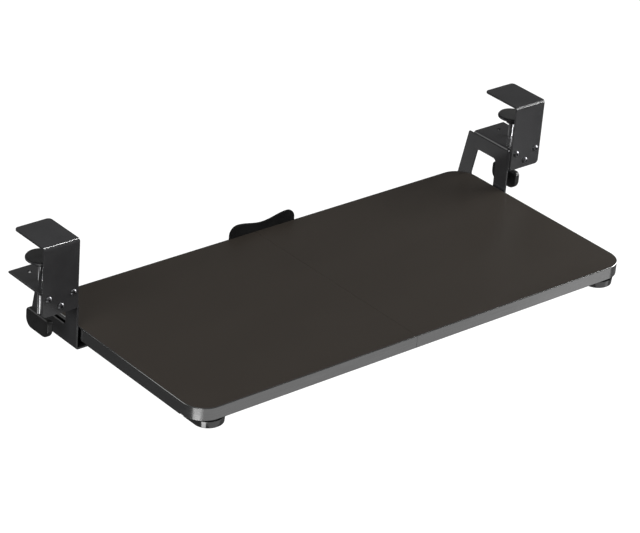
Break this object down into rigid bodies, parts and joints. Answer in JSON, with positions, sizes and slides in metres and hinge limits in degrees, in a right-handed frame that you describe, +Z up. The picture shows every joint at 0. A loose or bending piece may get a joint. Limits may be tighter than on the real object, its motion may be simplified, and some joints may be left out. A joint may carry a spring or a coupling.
{
  "type": "under-desk keyboard tray",
  "caption": "Sliding keyboard tray of joined boards that hangs from a desk edge on screw clamps, with ring-shaped side brackets, roller rails, a back stop and rounded front feet.",
  "frame": {"origin": "top front edge of the desk, midway between the two clamps: z = 0 is the desk top, y = 0 the desk's front face", "axes": "+X along the desk edge to the right, +Y back under the desk, +Z up"},
  "size_m": [0.756, 0.3115, 0.1438],
  "materials": {
    "powder_black": "satin powder coat",
    "board_laminate": "dark semi-gloss laminate",
    "edge_band": "satin grey edge band",
    "soft_pad": "matt foam rubber",
    "zinc_plate": "bright zinc",
    "chrome_rod": "polished",
    "knob_plastic": "gloss",
    "foot_plastic": "gloss",
    "rail_steel": "satin dark grey",
    "nylon": "smooth nylon",
    "dowel_wood": "bare beech"
  },
  "bodies": {
    "clamp_frame": {"left_clamp_hook": "powder_black", "left_top_pad": "soft_pad", "left_bracket": "powder_black", "left_hook_screws": "zinc_plate", "left_hook_nuts": "zinc_plate", "left_weld_nut": "zinc_plate", "left_roller_carrier": "rail_steel", "left_carrier_screws": "zinc_plate", "left_roller_axles": "zinc_plate", "right_clamp_hook": "powder_black", "right_top_pad": "soft_pad", "right_bracket": "powder_black", "right_hook_screws": "zinc_plate", "right_hook_nuts": "zinc_plate", "right_weld_nut": "zinc_plate", "right_roller_carrier": "rail_steel", "right_carrier_screws": "zinc_plate", "right_roller_axles": "zinc_plate"},
    "tray": {"left_panel": "board_laminate", "right_panel": "board_laminate", "left_edge_band": "edge_band", "right_edge_band": "edge_band", "left_rail": "rail_steel", "right_rail": "rail_steel", "left_rail_screws": "zinc_plate", "right_rail_screws": "zinc_plate", "left_rail_stops": "nylon", "right_rail_stops": "nylon", "front_splice_plate": "powder_black", "rear_splice_plate": "powder_black", "splice_screws": "zinc_plate", "seam_dowels": "dowel_wood", "back_stop": "powder_black", "back_stop_screws": "zinc_plate", "left_foot": "foot_plastic", "right_foot": "foot_plastic", "foot_screws": "zinc_plate"},
    "left_front_roller_body": {"left_front_roller": "nylon"},
    "left_rear_roller_body": {"left_rear_roller": "nylon"},
    "left_press": {"left_pressure_plate": "powder_black", "left_pressure_pad": "soft_pad"},
    "left_screw": {"left_clamp_screw": "chrome_rod", "left_wing_knob": "knob_plastic", "left_retaining_ring": "zinc_plate"},
    "right_front_roller_body": {"right_front_roller": "nylon"},
    "right_rear_roller_body": {"right_rear_roller": "nylon"},
    "right_press": {"right_pressure_plate": "powder_black", "right_pressure_pad": "soft_pad"},
    "right_screw": {"right_clamp_screw": "chrome_rod", "right_wing_knob": "knob_plastic", "right_retaining_ring": "zinc_plate"}
  },
  "joints": [
    {"name": "tray_slide", "type": "slide", "parent": "clamp_frame", "child": "tray", "axis": [0, 1, 0], "range_m": [0, 0.178]},
    {"name": "left_front_roller_spin", "type": "hinge", "parent": "clamp_frame", "child": "left_front_roller_body", "pos_m": [-0.3105, 0.01, -0.1327], "axis": [1, 0, 0], "range_deg": [-2920, 0]},
    {"name": "left_rear_roller_spin", "type": "hinge", "parent": "clamp_frame", "child": "left_rear_roller_body", "pos_m": [-0.3105, 0.07, -0.1327], "axis": [1, 0, 0], "range_deg": [0, 2920]},
    {"name": "right_front_roller_spin", "type": "hinge", "parent": "clamp_frame", "child": "right_front_roller_body", "pos_m": [0.3105, 0.01, -0.1327], "axis": [1, 0, 0], "range_deg": [-2920, 0]},
    {"name": "right_rear_roller_spin", "type": "hinge", "parent": "clamp_frame", "child": "right_rear_roller_body", "pos_m": [0.3105, 0.07, -0.1327], "axis": [1, 0, 0], "range_deg": [0, 2920]},
    {"name": "left_press_lift", "type": "slide", "parent": "clamp_frame", "child": "left_press", "axis": [0, 0, 1], "range_m": [-0.017, 0.015]},
    {"name": "left_screw_turn", "type": "hinge", "parent": "left_press", "child": "left_screw", "pos_m": [-0.358, 0.032, -0.1], "axis": [0, 0, 1], "range_deg": [-6130, 5410]},
    {"name": "right_press_lift", "type": "slide", "parent": "clamp_frame", "child": "right_press", "axis": [0, 0, 1], "range_m": [-0.017, 0.015]},
    {"name": "right_screw_turn", "type": "hinge", "parent": "right_press", "child": "right_screw", "pos_m": [0.358, 0.032, -0.1], "axis": [0, 0, 1], "range_deg": [-6130, 5410]}
  ],
  "couplings": [
    {"joint": "left_front_roller_spin", "follows": "tray_slide", "rad_per_m": -285.71},
    {"joint": "left_rear_roller_spin", "follows": "tray_slide", "rad_per_m": 285.71},
    {"joint": "right_front_roller_spin", "follows": "tray_slide", "rad_per_m": -285.71},
    {"joint": "right_rear_roller_spin", "follows": "tray_slide", "rad_per_m": 285.71},
    {"joint": "left_screw_turn", "follows": "left_press_lift", "rad_per_m": 6283.2},
    {"joint": "right_screw_turn", "follows": "right_press_lift", "rad_per_m": 6283.2}
  ]
}
